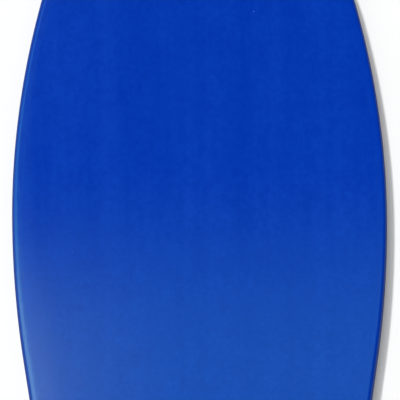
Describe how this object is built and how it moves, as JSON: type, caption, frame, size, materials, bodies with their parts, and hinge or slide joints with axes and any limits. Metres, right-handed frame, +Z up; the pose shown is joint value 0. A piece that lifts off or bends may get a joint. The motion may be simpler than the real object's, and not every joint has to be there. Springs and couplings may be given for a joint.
{
  "type": "bodyboard",
  "caption": "Prone surf board with a blue foam deck, shaped double rails, slick bottom with tail channels, crescent tail, hidden stringer and leash plug.",
  "frame": {"origin": "middle of the board's length and width, on the flat of the bottom, where it stands on the ground", "axes": "+Y towards the nose, +X to the rider's right, +Z up through the deck"},
  "size_m": [0.56, 1.04, 0.0693],
  "materials": {
    "core_foam": "cut closed-cell foam",
    "skin": "satin heat-rolled foam skin",
    "backing": "foam sheet",
    "slick": "slick film",
    "stringer": "carbon fibre laminate",
    "bung": "moulded",
    "plug": "moulded"
  },
  "bodies": {
    "root": {"foam_core": "core_foam", "core_bore_plug": "core_foam", "stringer_tube": "stringer", "stringer_bung_front": "bung", "stringer_bung_rear": "bung", "deck_skin": "skin", "nose_bumper": "skin", "tail_bumper": "skin", "upper_rail_left": "skin", "upper_rail_right": "skin", "lower_rail_left": "skin", "lower_rail_right": "skin", "slick_backing": "backing", "slick_film": "slick", "leash_plug_deck_half": "plug", "leash_plug_bottom_half": "plug"}
  },
  "joints": []
}
